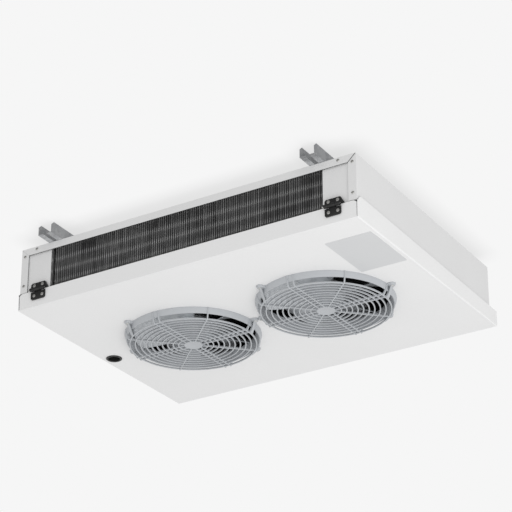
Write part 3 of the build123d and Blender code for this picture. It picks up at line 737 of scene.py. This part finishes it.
# ---- fans ------------------------------------------------
@dataclass
class FanGuard:
    """Moulded guard: tapered collar, concentric rings, ribs in pairs and singles, screw ears."""

    collar_radius: float = 142.0
    collar_drop: float = 12.5
    drop: float = 23.6
    hub_radius: float = 19.0
    first_ring: float = 30.7
    ring_pitch: float = 11.15
    ring_count: int = 10
    ring_width: float = 2.7
    ring_height: float = 3.6
    rib_width: float = 2.5
    rib_height: float = 4.2
    pair_gap: float = 13.0
    ear_radius: float = 150.0
    pad_radii: tuple[float, float] = (6.6, 8.0)
    pad_height: float = 5.0
    web_half_width: float = 7.2
    web_height: float = 3.6
    strut_width: float = 9.0
    strut_wind: float = 7.0
    ears: tuple[tuple[float, int], ...] = ((0, 1), (60, -1), (180, 1), (240, -1))

    def collar(self) -> bmesh.types.BMesh:
        """Collar with its spigot inside the fan hole."""
        r, low = self.collar_radius, -self.collar_drop
        profile = [(r, 0), (r, -2.0), (r - 0.4, -3.0), (r - 3.1, low + 0.8), (r - 3.7, low),
                   (r - 5.2, low), (r - 5.7, low + 0.7), (r - 11.8, -2.5), (r - 12.6, 8.6),
                   (r - 12.1, 9), (r - 10.8, 9), (r - 10.4, 8.5), (r - 10.4, 0)]
        return spun(profile, 128)

    def ring(self, radius: float) -> bmesh.types.BMesh:
        """One ring of the grille, with rounded edges."""
        half, low = self.ring_width / 2, -self.drop
        profile = [(radius - half, low + 0.8), (radius - half * 0.6, low + 0.1),
                   (radius + half * 0.6, low + 0.1), (radius + half, low + 0.8),
                   (radius + half * 0.8, low + self.ring_height),
                   (radius - half * 0.8, low + self.ring_height)]
        return spun(profile, 96 if radius > 60 else 64)

    def rib(self) -> bmesh.types.BMesh:
        """One rib along X, with its leg up the collar."""
        low, high, r = -self.drop, -self.drop + self.rib_height, self.collar_radius
        outline = [(self.hub_radius - 3, low), (r - 6, low), (r - 2.4, -17), (r + 1.4, -2),
                   (r + 1.4, 0), (r - 1, 0), (r - 4.2, 1 - self.collar_drop), (r - 9, high),
                   (self.hub_radius - 3, high)]
        flat = softened(slab(outline, -self.rib_width / 2, self.rib_width / 2), 0.45, 1)
        return moved(flat, FORWARD)

    def ear(self, angle: float, way: int) -> bmesh.types.BMesh:
        """Screw ear, with a strut that winds down the collar to the grille.

        Args:
            angle: Where the ear stands, in degrees.
            way: 1 or -1, the way that its strut winds.

        Returns:
            The ear and its strut.
        """
        pad = bmesh.new()
        below, above = self.pad_radii
        bmesh.ops.create_cone(pad, cap_ends=True, segments=32, radius1=below, radius2=above,
                              depth=self.pad_height,
                              matrix=shift(self.ear_radius, 0, -self.pad_height / 2))
        web = block((self.collar_radius - 3, self.ear_radius),
                    (-self.web_half_width, self.web_half_width), (-self.web_height, 0))
        low, foot = -self.drop, self.first_ring + (self.ring_count - 1) * self.ring_pitch
        outline = [(foot - 1, low), (foot + 2.5, low), (self.ear_radius - 3, -9.5),
                   (self.ear_radius + 3, -4.5), (self.ear_radius - 6, -4.5),
                   (self.collar_radius - 4, -10.5), (foot - 1, low + 5)]
        strut = moved(slab(outline, -self.strut_width / 2, self.strut_width / 2), FORWARD)
        rims = [e for e in strut.edges if abs(e.verts[0].co.y - e.verts[1].co.y) < 0.1]
        bmesh.ops.subdivide_edges(strut, edges=rims, cuts=2)
        for vert in strut.verts:
            fallen = (self.ear_radius - vert.co.x) / (self.ear_radius - foot)
            wind = radians(way * self.strut_wind) * max(0.0, fallen)
            vert.co = Matrix.Rotation(wind, 3, "Z") @ vert.co
        return moved(joined([softened(pad, 0.6), softened(web, 0.5), softened(strut, 0.5, 1)]),
                     turn_z(angle))

    def hub(self) -> bmesh.types.BMesh:
        """Blank disc in the middle, with a shallow dish and a rounded rim."""
        low, r = -self.drop - 0.1, self.hub_radius
        return spun([(0, low + 0.5), (r - 4, low + 0.5), (r - 2.6, low), (r - 0.6, low),
                     (r, low + 0.7), (r, low + 4.0), (0, low + 4.0)], 64, closed=False)

    def build(self, number: int) -> None:
        """Make one guard and set the screws in its ears."""
        parts = [self.collar(), self.hub()]
        parts += [self.ring(self.first_ring + i * self.ring_pitch) for i in range(self.ring_count)]
        rib = self.rib()
        for angle in (0, 90, 180, 270):
            parts += [copied(rib, turn_z(angle) @ shift(0, side * self.pair_gap / 2, 0))
                      for side in (-1, 1)]
            parts.append(copied(rib, turn_z(angle + 45)))
        rib.free()
        parts += [self.ear(angle, way) for angle, way in self.ears]
        place = fan_place(number)
        piece(f"guard_{number}", moved(joined(parts), MILLIMETRES @ place), GUARD_GREY,
              "fan_panel", [f"fan_guard_{number}"])
        spots = [place @ turn_z(angle) @ shift(self.ear_radius, 0, -self.pad_height) @ DOWNWARD
                 for angle, _ in self.ears]
        screws = Screws(radius=3.8, height=1.8, recess=1.2)
        screws.place(f"guard_screws_{number}", "fan_panel", spots)


@dataclass
class Impeller:
    """Axial wheel with twisted, cambered blades on a cup-shaped hub."""

    blades: int = 5
    hub_radius: float = 38.0
    tip_radius: float = 126.5
    root: Spot = (44.0, 36.0, 3.0)  # chord, pitch in degrees, camber
    tip: Spot = (118.0, 19.0, 9.0)
    middle: float = 13.0
    sweep: float = 7.0
    thickness: float = 2.0
    rest_angles: tuple[float, float] = (62.0, 2.0)

    def blade(self) -> bmesh.types.BMesh:
        """One blade, wrapped round the axis, with rounded edges."""
        mesh = bmesh.new()
        bmesh.ops.create_grid(mesh, x_segments=14, y_segments=12, size=1.0)
        for vert in mesh.verts:
            out, across = (vert.co.x + 1) / 2, vert.co.y
            radius = self.hub_radius - 2 + out * (self.tip_radius - self.hub_radius + 2)
            chord, pitch, camber = (a + (b - a) * out for a, b in zip(self.root, self.tip))
            along = across * chord / 2
            height = camber * (1 - across * across)
            slope = radians(pitch)
            tangent = along * cos(slope) - height * sin(slope)
            # the corners at the tip are rounded off
            trim = 1 - 0.05 * out ** 6 * across ** 6
            angle = tangent / radius + radians(self.sweep) * out
            vert.co = (radius * trim * cos(angle), radius * trim * sin(angle),
                       self.middle + along * sin(slope) + height * cos(slope))
        bmesh.ops.solidify(mesh, geom=mesh.faces[:], thickness=self.thickness)
        bmesh.ops.recalc_face_normals(mesh, faces=mesh.faces)
        return softened(mesh, 0.5, 2, 60)

    def build(self, number: int) -> None:
        """Make one impeller."""
        r = self.hub_radius
        hub = spun([(0, -1), (r - 7, -1), (r - 3, 0.2), (r - 0.8, 2.6), (r, 6), (r, 29),
                    (r - 2.8, 29), (r - 2.8, 4), (9, 3), (9, 27), (4.2, 27), (4.2, 3), (0, 3)], 72,
                   closed=False)
        blade = self.blade()
        parts = [hub] + [copied(blade, turn_z(360 / self.blades * i)) for i in range(self.blades)]
        blade.free()
        place = fan_place(number) @ turn_z(self.rest_angles[number - 1])
        piece(f"impeller_wheel_{number}", moved(joined(parts), MILLIMETRES @ place), BLADE_GREY,
              f"fan_{number}", [f"impeller_{number}"])


@dataclass
class Motor:
    """Small die-cast motor above each impeller."""

    radius: float = 41.0
    base: float = 46.0
    height: float = 54.0
    shaft_bore: float = 4.2
    boss_radius: float = 11.8
    ribs: int = 20

    def build(self, number: int) -> None:
        """Make one motor."""
        r, z, top = self.radius, self.base, self.base + self.height
        parts = [spun([(self.shaft_bore, z - 6), (self.boss_radius, z - 6), (self.boss_radius, z),
                       (r - 3, z), (r - 1.5, z + 1.5), (r - 1.5, top - 8), (r - 3, top - 5),
                       (r - 9, top), (0, top)], 72, closed=False)]
        fin = softened(block((r - 3, r), (-0.9, 0.9), (z + 20, z + 45)), 0.4, 1)
        parts += [copied(fin, turn_z(360 / self.ribs * i)) for i in range(self.ribs)]
        fin.free()
        parts.append(softened(block((-13, 13), (30, 46), (z + 2, z + 22)), 1.5, 2))
        piece(f"motor_{number}", moved(joined(parts), MILLIMETRES @ fan_place(number)),
              MOTOR_BLACK, "fan_panel", [f"fan_motor_{number}"])


@dataclass
class Drain:
    """Flush black outlet near the left end of the pan."""

    x: float = -366.0
    y: float = 301.0
    bore: float = 12.5
    wall: float = 2.5
    spigot: float = 8.0
    rim: float = 17.0
    rim_height: float = 2.0
    edge: float = 0.8

    def build(self) -> None:
        """Make the outlet and dress its nut."""
        bore, outer, low, edge = self.bore, self.bore + self.wall, -self.rim_height, self.edge
        outlet = spun([(bore, low + edge), (bore + edge, low), (self.rim - edge, low),
                       (self.rim, low + edge), (self.rim, 0), (outer, 0), (outer, self.spigot),
                       (bore, self.spigot)], 64)
        place = MILLIMETRES @ PAN @ shift(self.x, self.y, 0)
        piece("drain_outlet_round", moved(outlet, place), BLACK_NYLON, "fan_panel",
              ["drain_outlet"])
        dress(BLACK_NYLON, "drain_nut")


# ---- setting ---------------------------------------------
@dataclass(frozen=True)
class Lamp:
    """A soft square lamp: where it stands, where it points, its side and its watts."""

    name: str
    at: Spot
    aim: Spot
    size: float
    power: float

    def build(self) -> None:
        """Hang the lamp."""
        data = bpy.data.lights.new(self.name, "AREA")
        data.size, data.energy = self.size, self.power
        item = linked(self.name, data)
        item.location = self.at
        way = Vector(self.aim) - Vector(self.at)
        item.rotation_euler = way.to_track_quat("-Z", "Y").to_euler()


@dataclass
class Setting:
    """Camera, pale surroundings and soft light."""

    camera_at: Spot = (2.0733, -3.3841, -2.0437)
    yaw: float = -0.550
    pitch: float = 0.472
    roll: float = 0.002
    sensor_mm: float = 36.0
    lens_mm: float = 151.78359375
    far: float = 60.0
    ambient: float = 0.8
    lean: Spot = (0.14, 0.02, -0.03)
    gleam_heights: tuple[float, float] = (-0.15, 0.3)
    gleam_above: float = 0.25
    backdrop: str = "#F6F6F6"
    shade: str = "#D9D9D9"
    floor: str = "#F2F2F2"
    plane_half_size: float = 25.0
    ceiling_height: float = 0.0004
    floor_height: float = -3.4
    shade_reach: float = 0.045
    lamps: tuple[Lamp, ...] = (
        Lamp("soft_key", (1.9, -0.9, -1.7), (0.15, 0, -0.1), 1.4, 6.0),
        Lamp("near_fill", (1.1, -0.95, -1.35), (0.38, -0.2, -0.19), 1.0, 4.0))

    def camera(self) -> None:
        """Set the camera where the object was seen from."""
        ahead = Vector((sin(self.yaw) * cos(self.pitch), cos(self.yaw) * cos(self.pitch),
                        sin(self.pitch)))
        right = Vector((cos(self.yaw), -sin(self.yaw), 0))
        up = right.cross(ahead)
        right, up = (right * cos(self.roll) + up * sin(self.roll),
                     up * cos(self.roll) - right * sin(self.roll))
        data = bpy.data.cameras.new("camera")
        data.sensor_width = self.sensor_mm
        data.lens = self.lens_mm
        data.clip_end = self.far
        item = linked("camera", data)
        item.matrix_world = Matrix((right, up, -ahead)).transposed().to_4x4()
        item.location = self.camera_at
        bpy.context.scene.camera = item

    def world(self) -> None:
        """Even pale light from all round, and a pale backdrop where it is seen."""
        world = bpy.data.worlds.new("pale_studio")
        bpy.context.scene.world = world
        world.use_nodes = True
        tree = world.node_tree
        tree.nodes.clear()
        path = add_node(tree, "ShaderNodeLightPath", {}, {}).outputs
        seen = add_node(tree, "ShaderNodeMath", {"operation": "MAXIMUM"},
                        {0: path["Is Camera Ray"], 1: path["Is Transmission Ray"]})
        way = add_node(tree, "ShaderNodeTexCoord", {}, {}).outputs["Generated"]
        lean = add_node(tree, "ShaderNodeVectorMath", {"operation": "DOT_PRODUCT", 1: self.lean},
                        {0: way})
        level = add_node(tree, "ShaderNodeMath", {"operation": "ADD", 1: self.ambient},
                         {0: lean.outputs["Value"]})
        # what gleams sees a dark room above and a bright floor below
        height = add_node(tree, "ShaderNodeSeparateXYZ", {}, {0: way}).outputs["Z"]
        low, high = self.gleam_heights
        room = add_node(tree, "ShaderNodeMapRange",
                        {"From Min": low, "From Max": high, "To Min": 1.0,
                         "To Max": self.gleam_above}, {"Value": height})
        gleam = add_node(tree, "ShaderNodeMix", {"data_type": "FLOAT", 2: 1.0},
                         {0: path["Is Glossy Ray"], 3: room.outputs["Result"]})
        strength = add_node(tree, "ShaderNodeMath", {"operation": "MULTIPLY"},
                            {0: level.outputs[0], 1: gleam.outputs[0]})
        light = add_node(tree, "ShaderNodeBackground", {"Color": linear(WHITE_LIGHT)},
                         {"Strength": strength.outputs[0]})
        back = add_node(tree, "ShaderNodeBackground", {"Color": linear(self.backdrop),
                                                       "Strength": 1.0}, {})
        mix = add_node(tree, "ShaderNodeMixShader", {}, {0: seen.outputs[0], 1: light.outputs[0],
                                                         2: back.outputs[0]})
        add_node(tree, "ShaderNodeOutputWorld", {}, {"Surface": mix.outputs[0]})

    def backdrop_plane(self, name: str, height: float, facing_down: bool,
                       paint: Callable[[bpy.types.NodeTree], bpy.types.NodeSocket]) -> None:
        """A wide plane that is only seen, and neither lights nor shades the object.

        Args:
            name: Its name.
            height: Its height, in metres.
            facing_down: Whether it is seen from below.
            paint: Adds the plane's shader and returns its output.
        """
        mesh = bmesh.new()
        bmesh.ops.create_grid(mesh, x_segments=1, y_segments=1, size=self.plane_half_size,
                              matrix=shift(0, 0, height))
        if facing_down:
            bmesh.ops.reverse_faces(mesh, faces=mesh.faces)
        plane = linked(name, stored(name, mesh))
        material = bpy.data.materials.new(name)
        material.use_nodes = True
        tree = material.node_tree
        tree.nodes.clear()
        # from behind, the plane isn't there
        behind = add_node(tree, "ShaderNodeNewGeometry", {}, {}).outputs["Backfacing"]
        clear = add_node(tree, "ShaderNodeBsdfTransparent", {}, {})
        mix = add_node(tree, "ShaderNodeMixShader", {}, {0: behind, 1: paint(tree),
                                                         2: clear.outputs[0]})
        add_node(tree, "ShaderNodeOutputMaterial", {}, {"Surface": mix.outputs[0]})
        plane.data.materials.append(material)
        for ray in ("diffuse", "glossy", "transmission", "volume_scatter", "shadow"):
            setattr(plane, f"visible_{ray}", False)

    def ceiling_paint(self, tree: bpy.types.NodeTree) -> bpy.types.NodeSocket:
        """Pale ceiling that darkens softly where the casing hangs close to it."""
        near = add_node(tree, "ShaderNodeAmbientOcclusion",
                        {"samples": 16, "Distance": self.shade_reach}, {})
        tone = add_node(tree, "ShaderNodeMix", {"data_type": "RGBA"}, {0: near.outputs["AO"]})
        tone.inputs[6].default_value = linear(self.shade)
        tone.inputs[7].default_value = linear(self.backdrop)
        return add_node(tree, "ShaderNodeEmission", {"Strength": 1.0},
                        {"Color": tone.outputs[2]}).outputs[0]

    def floor_paint(self, tree: bpy.types.NodeTree) -> bpy.types.NodeSocket:
        """Pale matt floor, far below."""
        return add_node(tree, "ShaderNodeBsdfDiffuse", {"Color": linear(self.floor)},
                        {}).outputs[0]

    def build(self) -> None:
        """Set the whole scene round the object."""
        self.camera()
        self.world()
        self.backdrop_plane("ceiling", self.ceiling_height, True, self.ceiling_paint)
        self.backdrop_plane("floor", self.floor_height, False, self.floor_paint)
        for lamp in self.lamps:
            lamp.build()
        bpy.context.scene.view_settings.view_transform = "Standard"


@dataclass
class Cooler:
    """The whole cooler, sub-assembly by sub-assembly."""

    casing: Casing = field(default_factory=Casing)
    coil: Coil = field(default_factory=Coil)
    hinges: Hinges = field(default_factory=Hinges)
    guard: FanGuard = field(default_factory=FanGuard)
    impeller: Impeller = field(default_factory=Impeller)
    motor: Motor = field(default_factory=Motor)
    drain: Drain = field(default_factory=Drain)

    def build(self) -> None:
        """Build each sub-assembly in turn."""
        self.casing.build()
        self.coil.build()
        self.hinges.build()
        self.drain.build()
        for number in (1, 2):
            self.guard.build(number)
            self.impeller.build(number)
            self.motor.build(number)


def main() -> None:
    """Build the cooler and its setting."""
    logging.basicConfig(level=logging.INFO, format="%(name)s: %(message)s")
    Cooler().build()
    Setting().build()


if __name__ == "__main__":
    main()
